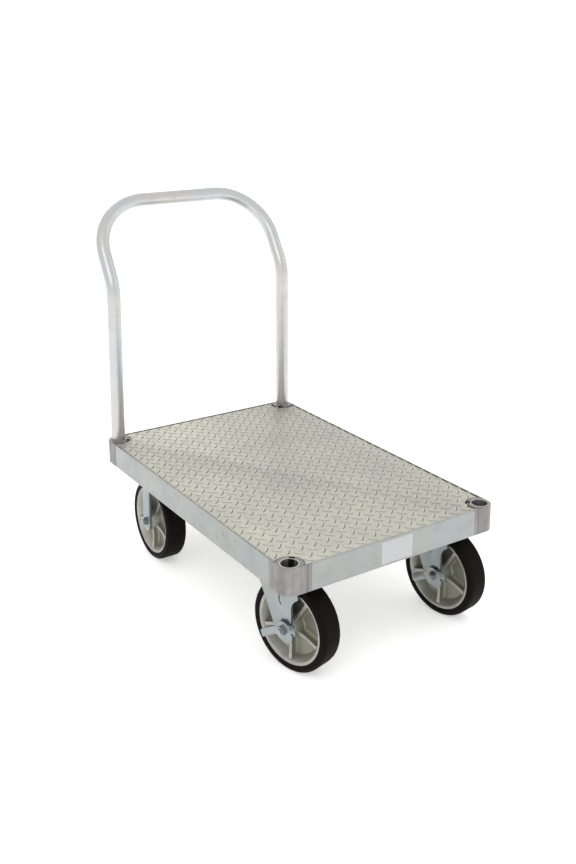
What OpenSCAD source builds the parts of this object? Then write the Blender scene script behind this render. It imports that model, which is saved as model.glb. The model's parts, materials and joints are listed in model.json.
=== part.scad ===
// Flatbed platform truck: an aluminium frame and tread plate deck on two swivel
// casters with wheel brakes and two rigid casters, with a lift-out push handle.
// X runs across the deck, Y from the front rail towards the handle, Z up from the floor.

/* [Deck] */
// Length of the frame over its end rails
deck_len = 874; // [820:1:1300]
// Width of the frame over its side rails
deck_wid = 570; // [500:1:760]
// Thickness of the tread plate over its raised bars
plate_t = 4.2; // [3:0.1:6]
// Gap round the tread plate inside the rails' lip
plate_gap = 1; // [0.5:0.1:2]

/* [Rails] */
// Height of the rails and corner castings
rail_h = 60; // [52:1:90]
// Thickness of the rails' web and flanges
rail_t = 4; // [3:0.5:5]
// Width of the ledge that carries the tread plate
ledge_w = 14; // [10:1:20]
// Width of the rails' lower flange
flange_w = 21; // [10:1:24]

/* [Corner castings] */
// Distance from a handle socket's axis to the outside of the frame
socket_inset = 25.5; // [24:0.5:32]
// Outer radius of the casting's boss, on the deck side
boss_r = 29; // [27:0.5:34]
// Length of the casting's arms from the socket's axis
arm_len = 38; // [34:1:48]
// Thickness of the floor of the socket
socket_floor = 6; // [4:1:10]
// Radius of the drain hole in that floor
drain_r = 5; // [3:0.5:8]
// Width of the slot from the socket into the deck
slot_w = 13; // [8:1:18]
// Width and depth of the grooves beside the rails
groove = 2.4; // [1:0.2:3]
// Distance of the grooves from the socket's axis
groove_at = 28; // [20:1:32]
// Gap between the casting's boss and the tread plate
boss_gap = 2.5; // [1:0.5:5]

/* [Handle] */
// Outside diameter of the handle tube
tube_d = 34.9; // [28:0.1:36]
// Wall of the handle tube
tube_wall = 3; // [1.5:0.5:5]
// Radial clearance of the tube in its sockets
socket_clear = 0.5; // [0.3:0.1:1]
// Height above the floor at which the posts begin to lean
lean_start = 661; // [500:1:800]
// Angle of the upper handle from upright
lean_angle = 32; // [10:1:40]
// Radius of the bend at which the posts lean, on the tube's centre line
lean_r = 104; // [70:1:140]
// Length of the leaning part, from that bend to the grip bar's centre line
lean_len = 212; // [180:1:320]
// Radius of the two upper corners, on the tube's centre line
corner_r = 147; // [60:1:160]

/* [Caster plates and beams] */
// Rise of a caster's top plate above the top of its wheel
caster_rise = 38.1; // [36:0.1:50]
// Height of the beams between the top plates and the deck
beam_h = 34.5; // [30:0.5:50]
// Thickness of the beams' base
beam_base = 6; // [4:1:8]
// Thickness of the beams' sides
beam_side = 5; // [3:0.5:6]
// Width of a caster beam
beam_w = 124; // [122:1:130]
// Width of the middle cross member
cross_w = 50; // [30:1:80]
// Position of the middle cross member along the deck
cross_y = -18; // [-60:1:60]
// Length of a caster's top plate
plate_len = 114.3; // [110:0.1:116]
// Width of a caster's top plate
plate_wid = 101.6; // [98:0.1:110]
// Thickness of a caster's top plate
plate_thick = 6; // [5:0.5:8]
// Radius of the top plate's corners
plate_corner = 9; // [2:1:12]
// Spacing of the plate bolts along the deck
bolt_len = 92.1; // [88:0.1:93]
// Spacing of the plate bolts across the deck
bolt_wid = 66.7; // [64:0.1:76]
// Radius of the plate bolts
bolt_r = 5; // [4:0.5:6]
// Radial clearance of the plate bolts in their holes
bolt_clear = 0.5; // [0.3:0.1:1]

/* [Caster places] */
// Distance of each kingpin from the deck's centre line
king_x = 210; // [190:1:220]
// Distance of the kingpins in front of the deck's middle
king_y = 304; // [280:1:310]
// Distance of each rigid caster from the deck's centre line
rigid_x = 215; // [190:1:220]
// Distance of the rigid casters behind the deck's middle
rigid_y = 267; // [240:1:310]
// Angle at which the front left caster stands
yaw_left = 14.5; // [-180:0.5:180]
// Angle at which the front right caster stands
yaw_right = 8.5; // [-180:0.5:180]

/* [Swivel] */
// Distance of the axle behind the kingpin
lead = 45; // [40:1:50]
// Gap between the fork's crown and the top plate's race
race_gap = 2.5; // [2:0.5:3]
// Height of the top plate's race below the plate
race_h = 15.3; // [12:0.1:16]
// Radius of the ball circle
race_r = 32; // [28:1:34]
// Radius of the outside of the race
race_out = 41; // [39:0.5:44]
// Radius of a ball
ball_r = 4.7; // [4:0.1:5]
// Number of balls in a race
ball_count = 14; // [8:1:18]
// Clearance of the balls in the fork's groove
ball_seat = 0.1; // [0.05:0.05:0.2]
// Clearance of the balls in the top plate's groove
ball_run = 0.3; // [0.2:0.05:0.4]
// Radius of the kingpin
king_r = 8; // [6:0.5:10]
// Radius of the kingpin's head
king_head_r = 14; // [12:0.5:16]
// Height of the kingpin's head
king_head_h = 4.5; // [3:0.5:5]
// Height of the kingpin's nut
king_nut_h = 7; // [5:0.5:7]
// Width of the kingpin's nut across its flats
king_nut_w = 24; // [20:1:27]

/* [Forks] */
// Thickness of the forks' steel
fork_t = 5.5; // [4:0.5:7]
// Thickness of the swivel forks' crown
crown_t = 6; // [5:0.5:7]
// Distance between a fork's legs
leg_gap = 64; // [64:0.5:70]
// Outer radius of the bend between the crown and the legs
crown_bend = 9; // [7:1:12]
// Reach of a swivel leg's straight edge past the axle, away from the kingpin
leg_trail = 35; // [30:1:40]
// Reach of a swivel leg's top on the other side of the axle
leg_front = 86; // [70:1:90]
// Half width of a swivel leg beside the axle
leg_end_r = 22.2; // [18:0.2:25]
// Distance of the swivel leg's end circle from the axle, along the deck
leg_end_y = 4.8; // [0:0.2:8]
// Distance of a leg's end circle below the axle
leg_end_z = 8; // [0:0.5:12]
// Height above the axle at which the swivel leg's edge curves out
leg_curve_z = 47; // [35:1:60]
// Radius of that curve
leg_curve_r = 32; // [20:1:40]
// Length of the slot pressed through a swivel leg
mark_len = 27; // [15:1:35]
// Width of that slot
mark_w = 3; // [2:0.5:5]
// Distance of the slot's middle from the axle, towards the kingpin
mark_y = 16; // [8:1:24]
// Height of the slot's middle above the axle
mark_z = 64; // [55:1:75]
// Reach of the hook at the slot's top, towards the kingpin
mark_hook = 8; // [4:0.5:12]
// Distance by which the slot's foot turns away from the kingpin
mark_drift = 5; // [0:0.5:8]
// Half width of a rigid caster's leg
strap_r = 18; // [14:0.5:22]

/* [Wheels] */
// Radius of a wheel
wheel_r = 101.6; // [95:0.1:103]
// Width of a tyre
tyre_w = 54; // [46:0.5:56]
// Thickness of a tyre between its tread and the wheel's core
tyre_t = 16.1; // [13:0.1:25]
// Radius of the tyre's shoulders
shoulder_r = 9; // [4:1:12]
// Width of the core's rim
rim_w = 50; // [42:0.5:52]
// Depth of the core's rim band
rim_t = 9; // [6:0.5:12]
// Thickness of the core's web
web_t = 9; // [6:0.5:12]
// Gap between the hub's end and a fork's leg, where the thrust washer is
hub_gap = 2; // [2:0.25:4]
// Radius of the hub
hub_r = 25; // [21:0.5:30]
// Number of ribs on each face of the core
rib_count = 5; // [3:1:8]
// Thickness of a rib
rib_t = 6; // [4:0.5:9]
// Depth of a rib's end below the face of the rim
rib_drop = 3; // [1:0.5:6]

/* [Axles] */
// Radius of the axle bolts
axle_r = 6.35; // [5:0.05:8]
// Radial clearance of an axle bolt in the legs and the bushing
axle_clear = 0.15; // [0.1:0.05:0.3]
// Outer radius of the bushing on which the rollers run
bushing_r = 9.5; // [9:0.1:11]
// Radius of a bearing roller
roller_r = 2.6; // [2:0.1:3]
// Distance of a roller's end from the hub's end
roller_end = 5; // [3:0.5:12]
// Number of rollers in a wheel
roller_count = 10; // [6:1:12]
// Clearance on each side of a roller
roller_clear = 0.08; // [0.05:0.01:0.1]
// Thickness of the thrust washers at the hub's ends
washer_t = 1.5; // [1:0.1:1.7]
// Outer radius of the thrust washers
washer_r = 21; // [18:0.5:23]
// Width of the axle bolt's head and nut across their flats
axle_hex = 19; // [17:1:24]
// Height of the axle bolt's head and nut
axle_nut_h = 9; // [7:0.5:12]

/* [Brakes] */
// Thickness of the brake cam on the leg
cam_t = 4; // [3:0.5:6]
// Radius of the brake cam
cam_r = 16; // [13:0.5:20]
// Gap between the cam and the lever
cam_gap = 0.3; // [0.3:0.1:0.6]
// Thickness of the lever's steel
lever_t = 3.5; // [2.5:0.5:5]
// Radius of the lever's middle
lever_r = 19; // [17:0.5:22]
// Radius of the round lobe under the lever's middle
lobe_r = 16; // [12:0.5:18]
// Distance of the lobe's centre from the axle, along the lever
lobe_y = 6; // [0:1:12]
// Distance of the lobe's centre below the axle
lobe_z = 14; // [10:1:20]
// Running clearance of the lever on the axle bolt
lever_clear = 0.06; // [0.03:0.01:0.1]
// Distance from the axle to the bend of a pedal
pedal_at = 26; // [24:1:32]
// Length of a pedal past its bend
pedal_len = 28; // [18:1:32]
// Width of a pedal
pedal_w = 17; // [14:1:26]
// Corner radius of a pedal
pedal_corner = 3; // [2:1:7]
// Angle at which the pedals bend outwards
pedal_bend = 30; // [10:1:45]
// Angle of the lever when the brake is off
lever_tilt = 22; // [0:1:30]

/* [Label] */
// Width of the blank label on the front rail
label_w = 84; // [40:1:100]
// Height of that label
label_h = 50; // [30:1:52]
// Thickness of that label
label_t = 0.4; // [0.3:0.1:0.6]
// Position of the label across the deck
label_x = -2; // [-100:1:100]

/* [Hidden] */
$fn = 64;

LEFT = -1;
RIGHT = 1;
BOTH = [LEFT, RIGHT];
CUT = 1; // how far a cutting shape runs past the face that it cuts

// heights
caster_h = 2 * wheel_r + caster_rise; // from the floor to a caster's top plate
deck_top = caster_h + beam_h + plate_t;
rail_bottom = deck_top - rail_h;
ledge_top = caster_h + beam_h;
crown_top = caster_h - plate_thick - race_h - race_gap;
crown_bottom = crown_top - crown_t;
// the frame's half sizes, and the handle sockets
half_wid = deck_wid / 2;
half_len = deck_len / 2;
socket_x = half_wid - socket_inset;
socket_y = half_len - socket_inset;
socket_r = tube_d / 2 + socket_clear;
socket_bottom = rail_bottom + socket_floor;
// where the leaning part of the handle starts, and where its grip bar is
lean_y = socket_y + lean_r * (1 - cos(lean_angle));
lean_z = lean_start + lean_r * sin(lean_angle);
bar_y = lean_y + lean_len * sin(lean_angle);
// moves the middle of the whole truck, front wheels and handle included, over the origin
front_reach = max(half_len + label_t, wheel_reach(yaw_left), wheel_reach(yaw_right));
deck_shift = (front_reach - bar_y - tube_d / 2) / 2;
// the core under the tyre, and lengths along the axle
core_r = wheel_r - tyre_t;
hub_len = leg_gap - 2 * hub_gap;
roller_len = hub_len - 2 * roller_end;
// outside of a fork's legs and places along an axle
leg_out = leg_gap / 2 + fork_t;
lever_in = leg_out + cam_t + cam_gap;
roller_at = bushing_r + roller_clear + roller_r;
hub_bore = roller_at + roller_r + roller_clear;
KING_CLEAR = 0.05; // running clearance of the fork on the kingpin
NUT_GAP = 0.3;     // gap between the kingpin's nut and the crown

// how far a front wheel reaches in front of the deck's middle when its caster stands at an angle
function wheel_reach(yaw) = king_y + (lead + wheel_r - shoulder_r) * cos(yaw)
    + (tyre_w / 2 - shoulder_r) * abs(sin(yaw)) + shoulder_r;

// ---- placing ----

module at_deck() translate([0, deck_shift, 0]) children();

// a swivel caster's own frame: the kingpin at the origin, the axle towards -Y
module at_kingpin(side)
    at_deck() translate([side * king_x, -king_y, 0])
        rotate([0, 0, side == LEFT ? yaw_left : yaw_right]) children();

// a wheel's own frame: the axle along X through the origin
module at_front_axle(side) at_kingpin(side) translate([0, -lead, wheel_r]) children();

module at_rear(side) at_deck() translate([side * rigid_x, rigid_y, 0]) children();

module at_rear_axle(side) at_rear(side) translate([0, 0, wheel_r]) children();

module at_plate_bolts() for (x = BOTH, y = BOTH)
    translate([x * bolt_wid / 2, y * bolt_len / 2, 0]) children();

module at_all_bolts() {
    for (side = BOTH) {
        at_deck() translate([side * king_x, -king_y, 0]) at_plate_bolts() children();
        at_rear(side) at_plate_bolts() children();
    }
}

// a cylinder along X from x0 to x1
module rod(r, x0, x1) translate([x0, 0, 0]) rotate([0, 90, 0]) cylinder(r = r, h = x1 - x0);

module ring(r_out, r_in, x0, x1) difference() {
    rod(r_out, x0, x1);
    rod(r_in, x0 - CUT, x1 + CUT);
}

// a hexagon of width w across its flats, along X
module hex_rod(w, x0, x1) translate([x0, 0, 0]) rotate([0, 90, 0])
    cylinder(d = w / cos(30), h = x1 - x0, $fn = 6);

module hex(w, h) cylinder(d = w / cos(30), h = h, $fn = 6);

// ---- frame ----

// a rail's cross-section: the outside of its web on x = 0, the deck towards +x
module rail_section() {
    translate([0, rail_bottom]) square([rail_t, rail_h]);
    translate([rail_t, rail_bottom]) square([flange_w, rail_t]);
    translate([rail_t, ledge_top - rail_t]) square([ledge_w, rail_t]);
}

module rail(length) rotate([90, 0, 0]) linear_extrude(length, center = true) rail_section();

module side_rail(side) color("silver") at_deck()
    rotate([0, 0, side == LEFT ? 0 : 180]) translate([-half_wid, 0, 0]) rail(2 * (socket_y - arm_len));

module end_rail(turn) color("silver") at_deck()
    rotate([0, 0, turn]) translate([-half_len, 0, 0]) rail(2 * (socket_x - arm_len));

// the frame's inside at a corner: the socket at the origin, outer faces towards -x and -y
module corner_limit() {
    reach = arm_len + boss_r;
    circle(r = socket_inset);
    translate([0, -socket_inset]) square(reach);
    translate([-socket_inset, 0]) square(reach);
}

module corner_plan() {
    intersection() {
        circle(r = boss_r);
        corner_limit();
    }
    translate([0, -socket_inset]) square([arm_len, rail_t]);
    translate([-socket_inset, 0]) square([rail_t, arm_len]);
}

module corner_casting() translate([0, 0, rail_bottom]) difference() {
    linear_extrude(rail_h) corner_plan();
    translate([0, 0, socket_floor]) cylinder(r = socket_r, h = rail_h);
    translate([0, 0, -CUT]) cylinder(r = drain_r, h = socket_floor + 2 * CUT);
    translate([0, 0, socket_floor]) rotate([0, 0, 45]) translate([0, -slot_w / 2, 0])
        cube([boss_r + CUT, slot_w, rail_h]);
    for (at = [[groove_at, -socket_inset], [-socket_inset, groove_at]])
        translate([at[0], at[1], -CUT]) cylinder(r = groove / 2, h = rail_h + 2 * CUT);
}

// side is left or right, end is -1 at the front and 1 at the handle
module corner(side, end) color("lightgray") at_deck() translate([side * socket_x, end * socket_y, 0])
    mirror([side == RIGHT ? 1 : 0, 0, 0]) mirror([0, end > 0 ? 1 : 0, 0]) corner_casting();

module deck_plate() color("beige") at_deck() translate([0, 0, ledge_top]) difference() {
    edge = 2 * (rail_t + plate_gap);
    translate([0, 0, plate_t / 2]) cube([deck_wid - edge, deck_len - edge, plate_t], center = true);
    for (x = BOTH, y = BOTH) translate([x * socket_x, y * socket_y, -CUT])
        cylinder(r = boss_r + boss_gap, h = plate_t + 2 * CUT);
}

// an upturned channel from web to web, notched under the rails' ledges
module beam(y, width) at_deck() translate([0, y, caster_h]) difference() {
    span = deck_wid - 2 * rail_t;
    translate([-span / 2, -width / 2, 0]) cube([span, width, beam_h]);
    translate([-span / 2 - CUT, -width / 2 + beam_side, beam_base])
        cube([span + 2 * CUT, width - 2 * beam_side, beam_h]);
    for (side = BOTH) translate([side * span / 2, 0, beam_h - rail_t])
        translate([-ledge_w, -width, 0]) cube([2 * ledge_w, 2 * width, 2 * rail_t]);
}

module caster_beam(y, bolt_x) color("silver") difference() {
    beam(y, beam_w);
    for (side = BOTH) at_deck() translate([side * bolt_x, y, caster_h - CUT])
        at_plate_bolts() cylinder(r = bolt_r + bolt_clear, h = beam_base + 2 * CUT);
}

module cross_member() color("silver") beam(cross_y, cross_w);

module label() color("white") at_deck()
    translate([label_x - label_w / 2, -half_len - label_t, rail_bottom + (rail_h - label_h) / 2])
        cube([label_w, label_t, label_h]);

BOLT_HEAD = 6;      // height of a plate bolt's head
BOLT_WASHER = 1.6;  // thickness of a plate bolt's washer
BOLT_NUT = 8;       // height of a plate bolt's nut
BOLT_FLATS = 16;    // width of its head and nut across their flats
BOLT_THREAD = 3;    // thread that stands past the nut
beam_floor = caster_h + beam_base;

module caster_bolts() color("lightsteelblue") at_all_bolts() {
    translate([0, 0, caster_h - plate_thick - BOLT_HEAD]) hex(BOLT_FLATS, BOLT_HEAD);
    translate([0, 0, caster_h - plate_thick])
        cylinder(r = bolt_r, h = plate_thick + beam_base + BOLT_WASHER + BOLT_NUT + BOLT_THREAD);
}

module caster_washers() color("silver") at_all_bolts() translate([0, 0, beam_floor]) difference() {
    cylinder(r = 2 * bolt_r, h = BOLT_WASHER);
    translate([0, 0, -CUT]) cylinder(r = bolt_r + bolt_clear, h = BOLT_WASHER + 2 * CUT);
}

module caster_nuts() color("lightsteelblue") at_all_bolts()
    translate([0, 0, beam_floor + BOLT_WASHER]) difference() {
        hex(BOLT_FLATS, BOLT_NUT);
        translate([0, 0, -CUT]) cylinder(r = bolt_r, h = BOLT_NUT + 2 * CUT);
    }

// ---- handle ----

// the handle's run as a solid bar of radius r, its posts starting at height z0; a short collar ties
// each leaning tube to the bend under it
module handle_run(r, z0) {
    collar = [0.25, 1];
    for (side = BOTH) {
        translate([side * socket_x, socket_y, z0]) cylinder(r = r, h = lean_start - z0);
        translate([side * socket_x, socket_y + lean_r, lean_start]) rotate([90, 0, -90])
            rotate_extrude(angle = lean_angle) translate([lean_r, 0]) circle(r = r);
    }
    translate([0, lean_y, lean_z]) rotate([-lean_angle, 0, 0]) {
        for (side = BOTH) mirror([side == LEFT ? 1 : 0, 0, 0]) {
            translate([socket_x, 0, 0]) {
                cylinder(r = r, h = lean_len - corner_r);
                cylinder(r = r + collar[0], h = 2 * collar[1], center = true);
            }
            translate([socket_x - corner_r, 0, lean_len - corner_r]) rotate([90, 0, 0])
                rotate_extrude(angle = 90) translate([corner_r, 0]) circle(r = r);
        }
        translate([0, 0, lean_len]) rod(r, corner_r - socket_x, socket_x - corner_r);
    }
}

module handle_tube() color("whitesmoke") at_deck() difference() {
    handle_run(tube_d / 2, socket_bottom);
    handle_run(tube_d / 2 - tube_wall, socket_bottom - CUT);
}

// ---- caster top plates ----

module plate_blank() translate([0, 0, caster_h - plate_thick]) linear_extrude(plate_thick) {
    square([plate_wid, plate_len - 2 * plate_corner], center = true);
    square([plate_wid - 2 * plate_corner, plate_len], center = true);
    for (x = BOTH, y = BOTH)
        translate([x * (plate_wid / 2 - plate_corner), y * (plate_len / 2 - plate_corner)])
            circle(r = plate_corner);
}

module plate_holes() at_plate_bolts() translate([0, 0, caster_h - plate_thick - CUT])
    cylinder(r = bolt_r + bolt_clear, h = plate_thick + 2 * CUT);

module ball_groove(clear) translate([0, 0, crown_top + race_gap / 2])
    rotate_extrude() translate([race_r, 0]) circle(r = ball_r + clear);

module top_plate(side) color("lightsteelblue") at_deck() translate([side * king_x, -king_y, 0])
    difference() {
        union() {
            plate_blank();
            translate([0, 0, crown_top + race_gap]) cylinder(r = race_out, h = race_h);
        }
        plate_holes();
        ball_groove(ball_run);
        translate([0, 0, crown_top]) cylinder(r = king_r + KING_CLEAR, h = caster_h);
        translate([0, 0, caster_h - king_head_h - NUT_GAP])
            cylinder(r = king_head_r + NUT_GAP, h = caster_h);
    }

module kingpin(side) color("silver") at_kingpin(side) {
    head_base = caster_h - king_head_h - NUT_GAP;
    end = crown_bottom - NUT_GAP - king_nut_h - 1;
    translate([0, 0, head_base]) cylinder(r = king_head_r, h = king_head_h);
    translate([0, 0, end]) cylinder(r = king_r, h = head_base - end);
}

module kingpin_nut(side) color("silver") at_kingpin(side)
    translate([0, 0, crown_bottom - NUT_GAP - king_nut_h]) difference() {
        hex(king_nut_w, king_nut_h);
        translate([0, 0, -CUT]) cylinder(r = king_r, h = king_nut_h + 2 * CUT);
    }

module balls(side) color("gray") at_kingpin(side) for (i = [0:ball_count - 1])
    rotate([0, 0, i * 360 / ball_count]) translate([race_r, 0, crown_top + race_gap / 2])
        sphere(r = ball_r);

// ---- forks ----

// an arch, square to the floor and rounded by r at its top corners
module arch(half, top, r) {
    low = -leg_end_z - leg_front;
    translate([-half, low]) square([2 * half, top - r - low]);
    translate([-(half - r), top - r]) square([2 * (half - r), r]);
    for (side = BOTH) translate([side * (half - r), top - r]) circle(r = r);
}

// the two legs and what joins them, full length along Y, with the axle at the origin
module fork_bend(top, thick) rotate([90, 0, 0]) linear_extrude(4 * leg_front, center = true)
    difference() {
        arch(leg_out, top - wheel_r, crown_bend);
        arch(leg_gap / 2, top - wheel_r - thick, crown_bend - fork_t);
    }

// the outline of a swivel leg seen along the axle; x points from the axle towards the kingpin
module swivel_leg_outline() {
    top = crown_top - wheel_r;
    side = leg_end_r - leg_end_y;
    translate([leg_end_y, -leg_end_z]) circle(r = leg_end_r);
    difference() {
        polygon([[leg_front, top], [-leg_trail, top], [-leg_trail, leg_curve_z],
                 [-side, leg_curve_z], [-side, -leg_end_z], [leg_end_y + leg_end_r, -leg_end_z]]);
        translate([-side - leg_curve_r, leg_curve_z]) circle(r = leg_curve_r);
    }
}

// the slot: a hook at its top, an upright stem and a foot that turns aside
module mark_outline() translate([mark_y, mark_z]) {
    half = mark_w / 2;
    top = mark_len / 2;
    knee = -mark_len / 8;
    polygon([[mark_hook, top], [-half, top], [-half, knee], [-half - mark_drift, -top],
             [half - mark_drift, -top], [half, knee], [half, top - mark_w], [mark_hook, top - mark_w]]);
}

// turns an outline drawn in x and y into a solid that runs along the axle
module along_axle(half) rotate([90, 0, 90]) linear_extrude(2 * half, center = true) children();

module swivel_fork(side) color("lightsteelblue") at_kingpin(side) difference() {
    union() {
        translate([0, -lead, wheel_r]) intersection() {
            fork_bend(crown_top, crown_t);
            along_axle(leg_gap) swivel_leg_outline();
        }
        translate([0, 0, crown_bottom]) cylinder(r = race_out + 1, h = crown_t);
    }
    translate([0, -lead, wheel_r]) {
        rod(axle_r + axle_clear, -leg_gap, leg_gap);
        along_axle(leg_gap) mark_outline();
    }
    ball_groove(ball_seat);
    cylinder(r = king_r + KING_CLEAR, h = caster_h);
}

module strap_outline() {
    translate([0, -leg_end_z]) circle(r = strap_r);
    translate([-strap_r, -leg_end_z]) square([2 * strap_r, caster_h - wheel_r + leg_end_z]);
}

module rigid_fork(side) color("lightsteelblue") at_rear(side) difference() {
    union() {
        plate_blank();
        translate([0, 0, wheel_r]) intersection() {
            fork_bend(caster_h, plate_thick);
            along_axle(leg_gap) strap_outline();
        }
    }
    plate_holes();
    translate([0, 0, wheel_r]) rod(axle_r + axle_clear, -leg_gap, leg_gap);
}

// ---- axles and wheels, each drawn with the axle along X through the origin ----

// the bolt's head is on the +X leg, and its thread ends past a nut whose outside is at reach
module axle_bolt(reach) {
    head = 8;
    hex_rod(axle_hex, leg_out, leg_out + head);
    rod(axle_r, -reach, leg_out);
}

module axle_nut(reach) difference() {
    hex_rod(axle_hex, -reach, -reach + axle_nut_h);
    rod(axle_r, -reach - CUT, reach);
}

module bushing() {
    half = leg_gap / 2 - 0.1;
    ring(bushing_r, axle_r + axle_clear, -half, half);
}

module thrust_washers() {
    middle = (leg_gap / 2 + hub_len / 2) / 2;
    for (side = BOTH) translate([side * middle, 0, 0])
        ring(washer_r, bushing_r + NUT_GAP, -washer_t / 2, washer_t / 2);
}

module rollers() for (i = [0:roller_count - 1]) rotate([i * 360 / roller_count, 0, 0])
    translate([0, 0, roller_at]) rod(roller_r, -roller_len / 2, roller_len / 2);

// the core's section: x is the radius, y the place along the axle
module core_section() {
    draft = 2;
    inner = core_r - rim_t;
    for (side = BOTH) mirror([0, side == LEFT ? 1 : 0]) {
        polygon([[hub_bore, 0], [core_r, 0], [core_r, rim_w / 2], [inner + draft, rim_w / 2],
                 [inner, web_t / 2], [hub_r + draft, web_t / 2 + draft], [hub_r, hub_len / 2],
                 [hub_bore, hub_len / 2]]);
    }
}

// one rib's side, from inside the hub's wall to inside the rim
module rib_side() {
    high = rim_w / 2 - rib_drop;
    polygon([[hub_r - 2, 0], [core_r - rim_t / 2, 0], [core_r - rim_t / 2, high], [hub_r - 2, high]]);
}

module wheel_core() {
    rotate([0, 90, 0]) rotate_extrude() core_section();
    for (i = [0:rib_count - 1], face = BOTH) rotate([i * 360 / rib_count, 0, 0])
        mirror([face == LEFT ? 1 : 0, 0, 0]) rotate([0, 90, 0]) rotate([90, 0, 0])
            linear_extrude(rib_t, center = true) rib_side();
}

module tyre() difference() {
    flat = tyre_w / 2 - shoulder_r;
    rotate([0, 90, 0]) rotate_extrude() {
        translate([core_r - shoulder_r, -tyre_w / 2]) square([wheel_r - core_r, tyre_w]);
        translate([core_r - shoulder_r, -flat]) square([wheel_r - core_r + shoulder_r, 2 * flat]);
        for (side = BOTH) translate([wheel_r - shoulder_r, side * flat]) circle(r = shoulder_r);
    }
    rod(core_r, -tyre_w, tyre_w);
}

// ---- brakes, on the -X leg of each swivel caster ----

module brake_cam() ring(cam_r, axle_r + axle_clear, -leg_out - cam_t, -leg_out);

// half of the lever's steel seen from above, on side -1 or 1 of the axle: a flat arm and a pedal bent
// away from the wheel, longer than its outline leaves it
function wing(side) = let(
    along = 2 * pedal_len * [-sin(pedal_bend), cos(pedal_bend)],
    through = -lever_t * [cos(pedal_bend), sin(pedal_bend)],
    near = [-lever_in, pedal_at],
    far = [-lever_in - lever_t, pedal_at - lever_t * tan(pedal_bend / 2)]
) [for (p = [near, near + along, near + along + through, far]) [p[0], side * p[1]]];

// the lever's outline seen along the axle
module lever_outline() {
    half = [pedal_at + pedal_len * cos(pedal_bend), pedal_w / 2];
    inner = half - [pedal_corner, pedal_corner];
    square([2 * half[0], 2 * inner[1]], center = true);
    square([2 * inner[0], 2 * half[1]], center = true);
    for (y = BOTH, z = BOTH) translate([y * inner[0], z * inner[1]]) circle(r = pedal_corner);
    circle(r = lever_r);
    translate([-lobe_y, -lobe_z]) circle(r = lobe_r);
}

// the lever's outer pedal, away from the kingpin, stands up when the brake is off
module brake_lever() rotate([-lever_tilt, 0, 0]) difference() {
    intersection() {
        linear_extrude(4 * (lobe_z + lobe_r), center = true)
            polygon(concat(wing(RIGHT), [for (i = [3:-1:0]) wing(LEFT)[i]]));
        along_axle(2 * (lever_in + lever_t + pedal_len)) lever_outline();
    }
    rod(axle_r + lever_clear, -2 * leg_out, 0);
}

brake_reach = lever_in + lever_t + NUT_GAP + axle_nut_h;
plain_reach = leg_out + axle_nut_h;
THREAD = 3; // thread that stands past an axle nut

module front_axle_bolt(side) color("silver") at_front_axle(side) axle_bolt(brake_reach + THREAD);
module front_axle_nut(side) color("silver") at_front_axle(side) axle_nut(brake_reach);
module front_bushing(side) color("silver") at_front_axle(side) bushing();
module front_thrust_washers(side) color("silver") at_front_axle(side) thrust_washers();
module front_rollers(side) color("gray") at_front_axle(side) rollers();
module front_wheel_core(side) color("gainsboro") at_front_axle(side) wheel_core();
module front_tyre(side) color("#1c1c1c") at_front_axle(side) tyre();
module front_brake_cam(side) color("silver") at_front_axle(side) brake_cam();
module front_brake_lever(side) color("lightgray") at_front_axle(side) brake_lever();
module rear_rollers(side) color("gray") at_rear_axle(side) rollers();
module rear_wheel_core(side) color("gainsboro") at_rear_axle(side) wheel_core();
module rear_tyre(side) color("#1c1c1c") at_rear_axle(side) tyre();

// the nut and the head of a rigid caster's bolt: the head faces inwards, as the leg is plain outside
module rear_axle_bolts() color("silver") for (side = BOTH) at_rear_axle(side)
    mirror([side == RIGHT ? 1 : 0, 0, 0]) axle_bolt(plain_reach + THREAD);
module rear_axle_nuts() color("silver") for (side = BOTH) at_rear_axle(side)
    mirror([side == RIGHT ? 1 : 0, 0, 0]) axle_nut(plain_reach);
module rear_bushings() color("silver") for (side = BOTH) at_rear_axle(side) bushing();
module rear_thrust_washers() color("silver") for (side = BOTH) at_rear_axle(side) thrust_washers();

side_rail(LEFT);  // side_rail_left
side_rail(RIGHT);  // side_rail_right
end_rail(90);  // end_rail_front
end_rail(-90);  // end_rail_rear
corner(LEFT, -1);  // corner_front_left
corner(RIGHT, -1);  // corner_front_right
corner(LEFT, 1);  // corner_rear_left
corner(RIGHT, 1);  // corner_rear_right
deck_plate();
caster_beam(-king_y, king_x);  // caster_beam_front
caster_beam(rigid_y, rigid_x);  // caster_beam_rear
cross_member();
label();
caster_bolts();
caster_washers();
caster_nuts();
handle_tube();
top_plate(LEFT);  // front_left_top_plate
kingpin(LEFT);  // front_left_kingpin
kingpin_nut(LEFT);  // front_left_kingpin_nut
balls(LEFT);  // front_left_balls
swivel_fork(LEFT);  // front_left_fork
front_axle_bolt(LEFT);  // front_left_axle_bolt
front_axle_nut(LEFT);  // front_left_axle_nut
front_bushing(LEFT);  // front_left_bushing
front_thrust_washers(LEFT);  // front_left_thrust_washers
front_rollers(LEFT);  // front_left_rollers
front_wheel_core(LEFT);  // front_left_wheel_core
front_tyre(LEFT);  // front_left_tyre
front_brake_cam(LEFT);  // front_left_brake_cam
front_brake_lever(LEFT);  // front_left_brake_lever
top_plate(RIGHT);  // front_right_top_plate
kingpin(RIGHT);  // front_right_kingpin
kingpin_nut(RIGHT);  // front_right_kingpin_nut
balls(RIGHT);  // front_right_balls
swivel_fork(RIGHT);  // front_right_fork
front_axle_bolt(RIGHT);  // front_right_axle_bolt
front_axle_nut(RIGHT);  // front_right_axle_nut
front_bushing(RIGHT);  // front_right_bushing
front_thrust_washers(RIGHT);  // front_right_thrust_washers
front_rollers(RIGHT);  // front_right_rollers
front_wheel_core(RIGHT);  // front_right_wheel_core
front_tyre(RIGHT);  // front_right_tyre
front_brake_cam(RIGHT);  // front_right_brake_cam
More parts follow.
